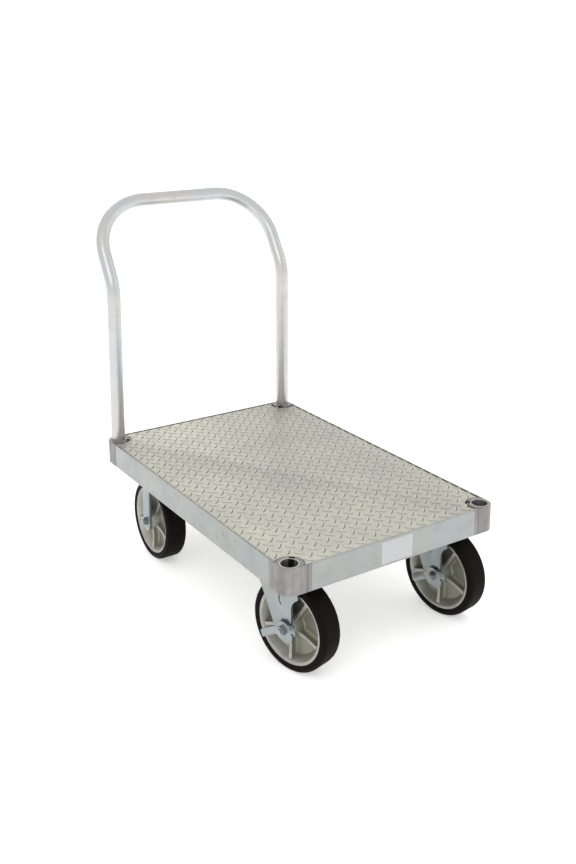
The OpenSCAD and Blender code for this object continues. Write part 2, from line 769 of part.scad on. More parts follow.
front_brake_lever(RIGHT);  // front_right_brake_lever
rigid_fork(LEFT);  // rear_left_fork
rear_rollers(LEFT);  // rear_left_rollers
rear_wheel_core(LEFT);  // rear_left_wheel_core
rear_tyre(LEFT);  // rear_left_tyre
rigid_fork(RIGHT);  // rear_right_fork
rear_rollers(RIGHT);  // rear_right_rollers
rear_wheel_core(RIGHT);  // rear_right_wheel_core
rear_tyre(RIGHT);  // rear_right_tyre
rear_axle_bolts();
rear_axle_nuts();
rear_bushings();
rear_thrust_washers();
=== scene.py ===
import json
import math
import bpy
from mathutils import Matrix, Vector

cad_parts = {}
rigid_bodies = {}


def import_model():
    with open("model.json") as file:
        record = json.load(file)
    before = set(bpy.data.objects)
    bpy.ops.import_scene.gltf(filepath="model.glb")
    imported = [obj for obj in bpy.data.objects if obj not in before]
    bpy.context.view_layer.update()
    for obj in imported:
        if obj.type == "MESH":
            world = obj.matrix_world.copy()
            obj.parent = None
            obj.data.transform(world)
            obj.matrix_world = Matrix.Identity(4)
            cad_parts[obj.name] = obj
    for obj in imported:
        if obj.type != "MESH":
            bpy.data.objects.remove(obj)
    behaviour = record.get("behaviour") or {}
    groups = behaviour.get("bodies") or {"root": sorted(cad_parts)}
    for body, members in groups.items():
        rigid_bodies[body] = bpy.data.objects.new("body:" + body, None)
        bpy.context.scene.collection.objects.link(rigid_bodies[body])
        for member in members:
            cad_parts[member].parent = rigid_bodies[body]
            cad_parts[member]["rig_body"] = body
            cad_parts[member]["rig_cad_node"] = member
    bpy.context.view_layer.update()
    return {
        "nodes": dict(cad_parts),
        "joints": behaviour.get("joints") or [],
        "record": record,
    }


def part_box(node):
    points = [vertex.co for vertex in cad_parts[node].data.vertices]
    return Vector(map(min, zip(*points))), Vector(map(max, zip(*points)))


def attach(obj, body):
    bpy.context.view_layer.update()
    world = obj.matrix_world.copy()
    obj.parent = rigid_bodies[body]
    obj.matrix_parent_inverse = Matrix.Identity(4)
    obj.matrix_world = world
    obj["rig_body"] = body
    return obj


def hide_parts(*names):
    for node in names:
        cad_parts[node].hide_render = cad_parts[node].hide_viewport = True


bl_info = {
    "name": "Flatbed platform truck",
    "version": (1, 0, 0),
    "blender": (4, 5, 0),
    "location": "3D View > Sidebar > Truck",
    "description": "Finishes a platform truck round its CAD frame: tread plate, handle, wheels, castings and metals",
    "category": "Object",
}

import bmesh
import bpy
from mathutils import Matrix, Vector

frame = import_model()

NODES = frame["nodes"]
JOINTS = {j["name"]: j for j in frame["joints"]}
MOUNTS = {m["name"]: m for m in frame["record"]["mounts"]}
CORNERS = [f"{end}_{side}" for end in ("front", "rear") for side in ("left", "right")]
MERGE = 2e-6  # how near vertices of a CAD mesh are when they are one
WHEEL_STEPS = 128

FLOOR_SIZE = 60
FLOOR_GLOW = 0.40
WORLD_STRENGTH = 1.04
LIGHTS = (  # name, place, diameter, power
    ("key", (-2.6, -2.2, 3.4), 2.6, 22.0),
    ("fill", (3.2, -1.6, 2.2), 2.4, 7.0),
    ("back", (0.6, 3.4, 2.8), 2.4, 8.0),
)
LIGHTS_AIM = (0, 0, 0.35)
CAMERA_AZIMUTH, CAMERA_ELEVATION = math.radians(-33.41), math.radians(10.99)
CAMERA_AIM_X, CAMERA_AIM_Z = 0.0087, 0.8048
CAMERA_DISTANCE = 2.4389
CAMERA_SENSOR = 36
CAMERA_LENS = 42.795833
CAMERA_SHIFT = -0.2


# ---- what a user may change ----

def length(name, description, default):
    return bpy.props.FloatProperty(
        name=name, description=description, default=default, min=0.0, unit="LENGTH", subtype="DISTANCE", precision=4)


def colour(name, description, default):
    return bpy.props.FloatVectorProperty(
        name=name, description=description, default=default, size=3, min=0.0, max=1.0, subtype="COLOR")


class TruckSizes(bpy.types.PropertyGroup):
    """Sizes of the finished pieces that the frame does not give"""
    bar_pitch: length("Bar pitch", "Distance between tread bars of one direction", 0.033)
    bar_length: length("Bar length", "Length of a raised tread bar", 0.026)
    bar_width: length("Bar width", "Width of a raised tread bar at its foot", 0.0074)
    bar_height: length("Bar height", "Height of the tread bars over the plate", 0.0015)
    plate_gap: length("Plate gap", "How far the tread plate's edges are drawn in", 0.0015)
    tube_wall: length("Tube wall", "Wall thickness of the handle tube", 0.003)
    lean_start: length("Lean start", "Height at which the handle posts begin to lean", 0.661)
    lean_radius: length("Lean radius", "Radius of the bend at which the posts lean", 0.104)
    lean_angle: bpy.props.FloatProperty(
        name="Lean angle", description="Angle of the upper handle from upright",
        default=math.radians(32), min=0.0, max=1.2, subtype="ANGLE")
    lean_length: length("Lean length", "Length of the leaning part up to the grip bar", 0.212)
    corner_radius: length("Corner radius", "Radius of the two upper corners of the handle", 0.147)
    rib_thickness: length("Rib thickness", "Thickness of a wheel rib at its outer edge", 0.0078)
    rail_edge: length("Rail edge", "Radius of the rails' long edges", 0.0007)
    casting_edge: length("Casting edge", "Radius of the corner castings' edges", 0.0011)
    steel_edge: length("Steel edge", "Radius of the pressed steel's edges", 0.0008)


class TruckColours(bpy.types.PropertyGroup):
    """Base colours of the truck's finishes"""
    rail: colour("Rail", "Extruded aluminium rails", (0.337, 0.351, 0.344))
    casting: colour("Casting", "Cast aluminium corners", (0.282, 0.28, 0.276))
    tread: colour("Tread", "Tread plate", (0.54, 0.532, 0.475))
    tube: colour("Tube", "Handle tube", (0.52, 0.525, 0.525))
    zinc: colour("Zinc", "Zinc plated steel", (0.315, 0.338, 0.338))
    hardware: colour("Hardware", "Bolts, nuts and pins", (0.36, 0.37, 0.375))
    rubber: colour("Rubber", "Tyres", (0.0045, 0.0038, 0.0032))
    core: colour("Core", "Cast wheel cores", (0.39, 0.385, 0.355))
    label: colour("Label", "Blank label", (0.46, 0.475, 0.475))
    floor: colour("Floor", "Studio floor", (0.955, 0.955, 0.955))


# ---- selecting and shaping ----

def begin():
    """Leaves edit mode, with nothing selected."""
    if bpy.context.object and bpy.context.object.mode != "OBJECT":
        bpy.ops.object.mode_set(mode="OBJECT")
    bpy.ops.object.select_all(action="DESELECT")


def choose(*objs):
    """Selects just these objects and makes the first active."""
    begin()
    for obj in objs:
        obj.select_set(True)
    bpy.context.view_layer.objects.active = objs[0]


def edit(obj):
    """Enters edit mode by vertices, with the whole mesh selected."""
    choose(obj)
    bpy.ops.object.mode_set(mode="EDIT")
    bpy.ops.mesh.select_mode(type="VERT")
    bpy.ops.mesh.select_all(action="SELECT")


def leave():
    bpy.ops.object.mode_set(mode="OBJECT")


def added(name):
    """Names the primitive that was just added."""
    obj = bpy.context.object
    obj.name = name
    obj.data.name = name
    return obj


def pick(obj, kind, test):
    """In edit mode, selects just the vertices, edges or faces that pass the test."""
    bpy.ops.mesh.select_mode(type=kind)
    bpy.ops.mesh.select_all(action="DESELECT")
    mesh = bmesh.from_edit_mesh(obj.data)
    for part in {"VERT": mesh.verts, "EDGE": mesh.edges, "FACE": mesh.faces}[kind]:
        if test(part):
            part.select_set(True)
    mesh.select_flush_mode()
    bmesh.update_edit_mesh(obj.data)


def modified(obj, kind, **settings):
    """Adds a modifier and applies it."""
    choose(obj)
    modifier = obj.modifiers.new(kind.title(), kind)
    for key, value in settings.items():
        setattr(modifier, key, value)
    bpy.ops.object.modifier_apply(modifier=modifier.name)
    return obj


def bevelled(obj, width, angle, segments=2, **settings):
    """Rounds the edges that turn by more than an angle in degrees."""
    return modified(obj, "BEVEL", width=width, segments=segments, limit_method="ANGLE",
                    angle_limit=math.radians(angle), **settings)


def applied(obj):
    """Puts the object's place into its mesh."""
    choose(obj)
    bpy.ops.object.transform_apply(location=True, rotation=True, scale=True)
    return obj


def tidy_normals(obj, merge=1e-6):
    """Merges doubled vertices and turns every face outwards."""
    edit(obj)
    bpy.ops.mesh.remove_doubles(threshold=merge)
    bpy.ops.mesh.normals_make_consistent(inside=False)
    leave()
    return obj


def smooth(obj, angle=35):
    choose(obj)
    bpy.ops.object.shade_smooth_by_angle(angle=math.radians(angle))
    return obj


def copied(obj, name, place=None):
    """A copy with its own mesh, moved by a matrix that goes into the mesh."""
    choose(obj)
    bpy.ops.object.duplicate(linked=False)
    copy = added(name)
    if place is not None:
        copy.matrix_world = place
        applied(copy)
    return copy


def joined(name, objs):
    choose(*objs)
    bpy.ops.object.join()
    return added(name)


def removed(*objs):
    choose(*objs)
    bpy.ops.object.delete()


def facing(direction):
    """The turn that points a light or a camera along a direction."""
    return direction.to_track_quat("-Z", "Y").to_euler()


def clamped(value):
    return max(0.0, min(1.0, value))


def turn_about(centre, axis, angle):
    """The matrix of a turn round an axis through a centre."""
    centre = Vector(centre)
    return Matrix.Translation(centre) @ Matrix.Rotation(angle, 4, axis) @ Matrix.Translation(-centre)


def rounded(corners, steps=5):
    """A closed outline through corners given as (x, y, radius)."""
    outline = []
    for i, (x, y, radius) in enumerate(corners):
        corner = Vector((x, y))
        if radius <= 0:
            outline.append(corner)
            continue
        back = (Vector(corners[i - 1][:2]) - corner).normalized()
        on = (Vector(corners[(i + 1) % len(corners)][:2]) - corner).normalized()
        half = back.angle(on) / 2
        centre = corner + (back + on).normalized() * radius / math.sin(half)
        arm = corner + back * radius / math.tan(half) - centre
        sweep = arm.angle_signed(corner + on * radius / math.tan(half) - centre)
        for k in range(steps + 1):
            spoke = arm.copy()
            spoke.rotate(Matrix.Rotation(-sweep * k / steps, 2))
            outline.append(centre + spoke)
    return outline


def mirrored(side):
    """The closed outline of a wheel's section, from its half on the positive side of the wheel's middle."""
    return rounded(side + [(-x, radius, rounding) for x, radius, rounding in reversed(side)])


def turned(name, outline, steps):
    """Spins a closed outline of (place along X, radius) points round the X axis."""
    begin()
    bpy.ops.mesh.primitive_circle_add(vertices=len(outline), radius=0.1)
    obj = added(name)
    for vertex, (x, radius) in zip(obj.data.vertices, outline):
        vertex.co = (x, 0, radius)
    edit(obj)
    bpy.ops.mesh.spin(steps=steps, angle=math.tau, center=(0, 0, 0), axis=(1, 0, 0))
    leave()
    return tidy_normals(obj)


def loosened(node, name, flat):
    """A copy of a CAD node that is free to be changed; facets within flat degrees become one face."""
    choose(NODES[node])
    bpy.ops.object.duplicate(linked=False)
    obj = added(name)
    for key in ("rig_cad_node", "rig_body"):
        if key in obj:
            del obj[key]
    obj.parent = None
    edit(obj)
    bpy.ops.mesh.remove_doubles(threshold=MERGE)
    bpy.ops.mesh.dissolve_limited(angle_limit=math.radians(flat))
    leave()
    return obj


def eased(node, name, width):
    """A copy of a CAD node with its sharp edges rounded, which stands for the node."""
    source = NODES[node]
    obj = loosened(node, name, 0.6)
    obj.data.materials.clear()
    bevelled(obj, width, 32, segments=3, use_clamp_overlap=True, miter_outer="MITER_ARC")
    smooth(obj, 40)
    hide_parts(node)
    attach(obj, source["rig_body"])
    return obj


# ---- finishes ----

def add_node(tree, kind, inputs=None, **settings):
    """Adds a shader node; an input is given as a value or as a socket to link."""
    made = tree.nodes.new(kind)
    for key, value in settings.items():
        setattr(made, key, value)
    for key, value in (inputs or {}).items():
        if isinstance(value, bpy.types.NodeSocket):
            tree.links.new(value, made.inputs[key])
        else:
            made.inputs[key].default_value = value
    return made


def noise(tree, coords, scale, detail=3.0, stretch=None, roughness=0.55):
    """Noise on object coordinates; stretch scales each axis first."""
    if stretch is not None:
        coords = add_node(tree, "ShaderNodeMapping", {"Vector": coords, "Scale": stretch}).outputs["Vector"]
    return add_node(tree, "ShaderNodeTexNoise", {
        "Vector": coords, "Scale": scale, "Detail": detail, "Roughness": roughness}).outputs["Fac"]


def spread(tree, value, low, high, to_low=0.0, to_high=1.0):
    """Maps low to high onto to_low to to_high."""
    return add_node(tree, "ShaderNodeMapRange", {
        "Value": value, "From Min": low, "From Max": high, "To Min": to_low, "To Max": to_high}).outputs["Result"]


def maths(tree, operation, a, b):
    return add_node(tree, "ShaderNodeMath", {0: a, 1: b}, operation=operation).outputs["Value"]


def tinted(tree, amount, a, b):
    """Mixes colour a towards colour b."""
    made = add_node(tree, "ShaderNodeMix", data_type="RGBA")
    for key, value in ((0, amount), (6, a), (7, b)):
        if isinstance(value, bpy.types.NodeSocket):
            tree.links.new(value, made.inputs[key])
        else:
            made.inputs[key].default_value = value if key == 0 else (*value[:3], 1.0)
    return made.outputs[2]


def scaled(colour, factor):
    return tuple(min(1.0, c * factor) for c in colour)


def bumped(tree, layers):
    """Stacks bumps given as (height, distance in metres, strength)."""
    normal = None
    for height, distance, strength in layers:
        inputs = {"Height": height, "Distance": distance, "Strength": strength}
        if normal is not None:
            inputs["Normal"] = normal
        normal = add_node(tree, "ShaderNodeBump", inputs).outputs["Normal"]
    return normal


def started(name):
    """A new material, its tree, its object coordinates and its shader."""
    material = bpy.data.materials.new(name)
    material.use_nodes = True
    tree = material.node_tree
    coords = tree.nodes.new("ShaderNodeTexCoord").outputs["Object"]
    return material, tree, coords, tree.nodes["Principled BSDF"]


def finished(tree, shader, colour, roughness, normal):
    for key, value in (("Base Color", colour), ("Roughness", roughness), ("Normal", normal)):
        tree.links.new(value, shader.inputs[key])


def metal(name, base, rough, grain=None, grain_depth=0.1, speckle=900.0, speckle_depth=0.06, patch=0.10, grime=0.25,
          warm=(1.03, 1.0, 0.96), cool=(0.965, 1.0, 1.03), streak=0.0):
    """A bare or plated metal: drifting tint, handling smudges, fine grain and scattered scuffs."""
    material, tree, coords, shader = started(name)
    shader.inputs["Metallic"].default_value = 1.0
    drift = noise(tree, coords, 7.0, 3.0)
    cloud = noise(tree, coords, 26.0, 5.0, roughness=0.65)
    fine = noise(tree, coords, speckle, 2.0)
    lines = noise(tree, coords, 1.0, 3.0, stretch=grain or (speckle / 3,) * 3)
    warm_tone = tuple(b * w for b, w in zip(base, warm))
    cool_tone = tuple(b * c for b, c in zip(base, cool))
    tone = tinted(tree, spread(tree, drift, 0.35, 0.65), cool_tone, warm_tone)
    tone = tinted(tree, spread(tree, cloud, 0.45, 0.75, 0.0, patch * 2.5), tone, scaled(base, 0.72))
    tone = tinted(tree, spread(tree, lines, 0.35, 0.7, 0.0, patch), tone, scaled(base, 1.18))
    tone = tinted(tree, spread(tree, lines, 0.54, 0.44, 0.0, streak), tone, scaled(base, 0.55))
    # dull handling marks and grime, in broken patches
    mark = maths(tree, "MULTIPLY", spread(tree, noise(tree, coords, 55.0, 6.0, roughness=0.7), 0.54, 0.70),
                 spread(tree, drift, 0.42, 0.62))
    tone = tinted(tree, maths(tree, "MULTIPLY", mark, grime), tone, scaled(base, 0.42))
    scratch = noise(tree, coords, 1.0, 4.0, stretch=(38.0, 900.0, 310.0), roughness=0.75)
    scratch = spread(tree, scratch, 0.66, 0.72, 0.0, 0.35)
    tone = tinted(tree, scratch, tone, scaled(base, 1.3))
    dull = maths(tree, "ADD", spread(tree, cloud, 0.3, 0.7, rough - 0.05, rough + 0.09),
                 maths(tree, "MULTIPLY", mark, 0.16))
    normal = bumped(tree, [(lines, 0.0002, grain_depth), (fine, 0.0003, speckle_depth), (scratch, 0.0001, 0.25),
                           (cloud, 0.0006, 0.05)])
    finished(tree, shader, tone, dull, normal)
    return material


def make_finishes(tones):
    """All of the truck's materials, by name."""
    return {
        "rail_x": metal("satin_extrusion_x", tones.rail, 0.36, grain=(9.0, 700.0, 700.0), patch=0.10),
        "rail_y": metal("satin_extrusion_y", tones.rail, 0.36, grain=(700.0, 9.0, 700.0), patch=0.10),
        "edge": metal("rubbed_edge", scaled(tones.rail, 1.35), 0.34, grain_depth=0.03, patch=0.05, grime=0.1),
        "casting": metal("sand_cast_aluminium", tones.casting, 0.44, grain=(85.0, 85.0, 2.5), grain_depth=0.22,
                         speckle=620.0, speckle_depth=0.12, patch=0.30, warm=(1.05, 0.99, 0.96), cool=(0.97, 1.0, 1.01),
                         streak=0.34),
        # painted shade: near black, for joints, plate sides and the slot behind the sockets
        "gap": metal("shaded_edge", (0.05, 0.05, 0.05), 0.6, grain_depth=0.03, patch=0.05, grime=0.1),
        "tread": tread_metal(tones),
        "tube": metal("drawn_tube", tones.tube, 0.34, grain=(60.0, 60.0, 14.0), grain_depth=0.06, speckle_depth=0.03,
                      patch=0.07, grime=0.16),
        "zinc": metal("clear_zinc_plate", tones.zinc, 0.33, grain=(90.0, 90.0, 90.0), grain_depth=0.07,
                      speckle=420.0, speckle_depth=0.08, patch=0.12, warm=(1.04, 1.01, 0.95), cool=(0.95, 1.0, 1.04)),
        "hardware": metal("plated_fastener", tones.hardware, 0.29, grain=(300.0, 300.0, 300.0), grain_depth=0.05,
                          speckle_depth=0.04, patch=0.12, grime=0.4),
        "bearing": metal("ground_steel", (0.55, 0.56, 0.57), 0.20, grain_depth=0.03, patch=0.06, grime=0.5),
        "core": cast_core(tones),
        "rubber": rubber(tones),
        "label": label_film(tones),
        "floor": floor_paint(tones),
    }


def tread_metal(tones):
    """Mill finish tread plate: warm grey flats, bar tops rubbed bright, painted shade and dust round their feet,
    painted shade on one flank.
    """
    material, tree, coords, shader = started("mill_tread_plate")
    shader.inputs["Metallic"].default_value = 1.0
    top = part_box("deck_plate")[1].z
    height = add_node(tree, "ShaderNodeSeparateXYZ", {"Vector": coords}).outputs["Z"]
    drift = noise(tree, coords, 5.0, 4.0)
    cloud = noise(tree, coords, 30.0, 6.0, roughness=0.7)
    fine = noise(tree, coords, 700.0, 3.0)
    mill = noise(tree, coords, 1.0, 3.0, stretch=(420.0, 26.0, 420.0))
    tone = tinted(tree, spread(tree, drift, 0.35, 0.65), scaled(tones.tread, 0.93),
                  tuple(c * f for c, f in zip(tones.tread, (1.05, 1.04, 1.0))))
    tone = tinted(tree, spread(tree, cloud, 0.45, 0.75, 0.0, 0.24), tone, scaled(tones.tread, 0.72))
    tone = tinted(tree, spread(tree, mill, 0.4, 0.7, 0.0, 0.16), tone, scaled(tones.tread, 1.15))
    worn = spread(tree, height, top - 0.0006, top - 0.0001)
    worn = maths(tree, "MULTIPLY", worn, spread(tree, cloud, 0.25, 0.6, 0.45, 1.0))
    # painted shade and dust round the bars' feet
    foot = spread(tree, height, top - 0.0012, top - 0.0007, 0.0, 1.0)
    foot = maths(tree, "MULTIPLY", foot, maths(tree, "SUBTRACT", 1.0, worn))
    tone = tinted(tree, maths(tree, "MULTIPLY", foot, 0.35), tone, scaled(tones.tread, 0.45))
    tone = tinted(tree, worn, tone, scaled(tones.tread, 1.28))
    # painted shade: one flank of each bar is darkened, as under a light from the other side
    shaded_flank = add_node(tree, "ShaderNodeAttribute", attribute_name="shaded_flank").outputs["Fac"]
    tone = tinted(tree, maths(tree, "MULTIPLY", shaded_flank, 0.85), tone, scaled(tones.tread, 0.24))
    dull = maths(tree, "SUBTRACT", spread(tree, cloud, 0.3, 0.7, 0.40, 0.56), maths(tree, "MULTIPLY", worn, 0.14))
    normal = bumped(tree, [(mill, 0.0002, 0.10), (fine, 0.0003, 0.16), (cloud, 0.0008, 0.08)])
    finished(tree, shader, tone, dull, normal)
    return material


def cast_core(tones):
    """Die cast wheel core: pale rubbed rim and rib edges, greener dust and painted shade in the recesses."""
    material, tree, coords, shader = started("die_cast_core")
    shader.inputs["Metallic"].default_value = 0.85
    recess = add_node(tree, "ShaderNodeAttribute", attribute_name="recess").outputs["Fac"]
    cloud = noise(tree, coords, 38.0, 5.0, roughness=0.65)
    fine = noise(tree, coords, 520.0, 3.0)
    tone = tinted(tree, spread(tree, cloud, 0.35, 0.7), scaled(tones.core, 1.06), scaled(tones.core, 0.86))
    # painted shade with dust: the recessed web turns darker and greener
    dust_and_shade = tuple(c * f for c, f in zip(tones.core, (0.60, 0.62, 0.50)))
    tone = tinted(tree, maths(tree, "MULTIPLY", recess, spread(tree, cloud, 0.2, 0.6, 0.95, 0.6)), tone, dust_and_shade)
    dull = maths(tree, "ADD", spread(tree, cloud, 0.3, 0.7, 0.36, 0.46), maths(tree, "MULTIPLY", recess, 0.14))
    normal = bumped(tree, [(fine, 0.0004, 0.22), (cloud, 0.0008, 0.12)])
    finished(tree, shader, tone, dull, normal)
    return material


def rubber(tones):
    """Moulded rubber: a scuffed, dusty running face and cleaner, slightly glossy sides."""
    material, tree, coords, shader = started("moulded_rubber")
    shader.inputs["Specular IOR Level"].default_value = 0.05
    face = add_node(tree, "ShaderNodeAttribute", attribute_name="running_face").outputs["Fac"]
    cloud = noise(tree, coords, 42.0, 6.0, roughness=0.7)
    fine = noise(tree, coords, 800.0, 3.0)
    dust = (0.0075, 0.006, 0.0045)
    tone = tinted(tree, spread(tree, cloud, 0.35, 0.7), scaled(tones.rubber, 0.8), scaled(tones.rubber, 1.5))
    tone = tinted(tree, maths(tree, "MULTIPLY", face, spread(tree, cloud, 0.35, 0.7, 0.15, 0.6)), tone, dust)
    dull = maths(tree, "ADD", spread(tree, cloud, 0.3, 0.7, 0.42, 0.56), maths(tree, "MULTIPLY", face, 0.14))
    normal = bumped(tree, [(fine, 0.0003, 0.25), (cloud, 0.0006, 0.15)])
    finished(tree, shader, tone, dull, normal)
    return material


def label_film(tones):
    """Matt white film with faint smudges."""
    material, tree, coords, shader = started("white_label_film")
    shader.inputs["Specular IOR Level"].default_value = 0.4
    cloud = noise(tree, coords, 60.0, 5.0, roughness=0.7)
    fine = noise(tree, coords, 1500.0, 2.0)
    tone = tinted(tree, spread(tree, cloud, 0.5, 0.75, 0.0, 0.3), tones.label, scaled(tones.label, 0.8))
    finished(tree, shader, tone, spread(tree, cloud, 0.3, 0.7, 0.36, 0.5), bumped(tree, [(fine, 0.0001, 0.1)]))
    return material


def floor_paint(tones):
    """Matt white floor with a faint unevenness."""
    material, tree, coords, shader = started("studio_floor")
    cloud = noise(tree, coords, 3.0, 3.0)
    tone = tinted(tree, spread(tree, cloud, 0.3, 0.7, 0.0, 0.06), tones.floor, scaled(tones.floor, 0.96))
    # a lit floor, as on a light table, keeps the shadows pale
    shader.inputs["Emission Color"].default_value = (1.0, 1.0, 1.0, 1.0)
    shader.inputs["Emission Strength"].default_value = FLOOR_GLOW
    finished(tree, shader, tone, spread(tree, cloud, 0.3, 0.7, 0.75, 0.85), bumped(tree, [(cloud, 0.0005, 0.02)]))
    return material


FINISHES = {}


def finish(name):
    """A material of the set, which is made at the first call."""
    if not FINISHES:
        FINISHES.update(make_finishes(bpy.context.scene.truck_colours))
    return FINISHES[name]


def coat(obj, *names):
    """Gives an object these finishes, and no others, as its material slots."""
    obj.data.materials.clear()
    for name in names:
        obj.data.materials.append(finish(name))
    return obj


def painted_points(obj, name, value):
    """Stores a number between 0 and 1 at each vertex, worked out from its place."""
    layer = obj.data.attributes.new(name, "FLOAT", "POINT")
    for vertex, item in zip(obj.data.vertices, layer.data):
        item.value = value(vertex.co)
    return obj


# ---- pieces ----

def plate_bar(sizes):
    """One raised bar, lying along X: a pointed lens with sloping sides and a rounded crest."""
    begin()
    bpy.ops.mesh.primitive_circle_add(vertices=12, radius=1.0, fill_type="NGON")
    bar = added("tread_bar")
    half, side = sizes.bar_length / 2, sizes.bar_width / 2
    tiers = ((0.62, 0.90, 0.62), (0.30, 0.86, 0.60), (0.08, 0.8, 0.4))  # rise, narrowing along and across
    for vertex in bar.data.vertices:
        along = vertex.co.x
        vertex.co = (along * half, math.copysign(side * (1 - along ** 2) ** 0.75, vertex.co.y), 0)
    edit(bar)
    for rise, shrink_x, shrink_y in tiers:
        bpy.ops.mesh.extrude_region_move(TRANSFORM_OT_translate={"value": (0, 0, rise * sizes.bar_height)})
        bpy.ops.transform.resize(value=(shrink_x, shrink_y, 1), center_override=(0, 0, 0))
    leave()
    tidy_normals(bar)
    # painted shade along one flank of each bar, as under a light from the other side
    return painted_points(bar, "shaded_flank", lambda co: 1.0 if co.y < -1e-5 and co.z < 0.95 * sizes.bar_height else 0.0)


def socket_centres():
    """The four sockets' centres, seen from above."""
    x, y, _ = MOUNTS["socket_front_right"]["pos_m"]
    low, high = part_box("deck_plate")
    return [Vector((side * x, place, 0)) for side in (-1, 1) for place in (y, low.y + high.y - y)]


def drawn_in(plate, gap):
    """Draws the plate's edges in, so that a joint in near-black painted shade shows round it and round the sockets'
    bosses.
    """
    boss_reach = 0.034
    centres = socket_centres()
    middle = sum(centres, Vector()) / len(centres)
    reach = Vector((max(v.co.x for v in plate.data.vertices), max(v.co.y - middle.y for v in plate.data.vertices), 0))
    for vertex in plate.data.vertices:
        co = vertex.co
        near = min(centres, key=lambda c: (Vector((co.x, co.y, 0)) - c).length)
        arm = Vector((co.x, co.y, 0)) - near
        if arm.length < boss_reach:
            co.x, co.y = (near + arm.normalized() * (arm.length + gap)).xy
        co.x = max(gap - reach.x, min(reach.x - gap, co.x))
        co.y = max(middle.y + gap - reach.y, min(middle.y + reach.y - gap, co.y))


class TRUCK_OT_tread_plate(bpy.types.Operator):
    """Make the tread plate with its raised bars"""
    bl_idname = "truck.tread_plate"
    bl_label = "Tread plate"

    def execute(self, context):
        sizes = context.scene.truck_sizes
        low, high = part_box("deck_plate")
        flat = high.z - sizes.bar_height
        bar_sink = 0.0001
        fence_sink, fence_rise = 0.0004, 0.01
        pattern_offset = Vector((-0.0035, -0.0068, 0))
        lighter_flank_shade = 0.40
        edge_slope, edge_area = 0.3, 0.00002
        plate = loosened("deck_plate", "tread_plate", 0.5)
        edit(plate)
        pick(plate, "FACE", lambda f: f.normal.z > 0.9)
        bpy.ops.transform.translate(value=(0, 0, flat - high.z))
        leave()
        # the fence keeps the bars inside the plate's outline
        fence = copied(plate, "bar_limit")
        edit(fence)
        bpy.ops.transform.translate(value=(0, 0, flat - low.z - fence_sink))
        pick(fence, "FACE", lambda f: f.normal.z > 0.9)
        bpy.ops.transform.translate(value=(0, 0, fence_rise))
        leave()
        drawn_in(plate, sizes.plate_gap)
        bevelled(plate, 0.0005, 60)
        # bars of two directions, a quarter turn apart, in a basket pattern
        bar = plate_bar(sizes)
        pitch = sizes.bar_pitch
        middle = (low + high) / 2 + pattern_offset
        span = high - low
        columns, rows = int(span.x / pitch) + 3, int(span.y / pitch) + 3
        fields = []
        for turn, shift in ((45, 0.0), (-45, pitch / 2)):
            place = (middle.x + shift - pitch * (columns - 1) / 2, middle.y + shift - pitch * (rows - 1) / 2,
                     flat - bar_sink)
            field = copied(bar, "bar_field", Matrix.Translation(place) @ Matrix.Rotation(math.radians(turn), 4, "Z"))
            if turn < 0:
                # the painted shade on this direction's flanks is lighter
                for item in field.data.attributes["shaded_flank"].data:
                    item.value *= lighter_flank_shade
            for count, offset in ((columns, (pitch, 0, 0)), (rows, (0, pitch, 0))):
                modified(field, "ARRAY", count=count, use_relative_offset=False, use_constant_offset=True,
                         constant_offset_displace=offset)
            fields.append(field)
        bars = joined("bars", fields)
        modified(bars, "BOOLEAN", operation="INTERSECT", object=fence, solver="EXACT")
        removed(fence, bar)
        plate = joined("tread_plate", [plate, bars])
        coat(plate, "tread", "gap")
        # painted shade: the plate's own sides get the near-black finish; the bars' sides are far smaller and stay
        # bright
        for face in plate.data.polygons:
            if abs(face.normal.z) < edge_slope and face.area > edge_area:
                face.material_index = 1
        smooth(plate, 50)
        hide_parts("deck_plate")
        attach(plate, "frame")
        return {"FINISHED"}


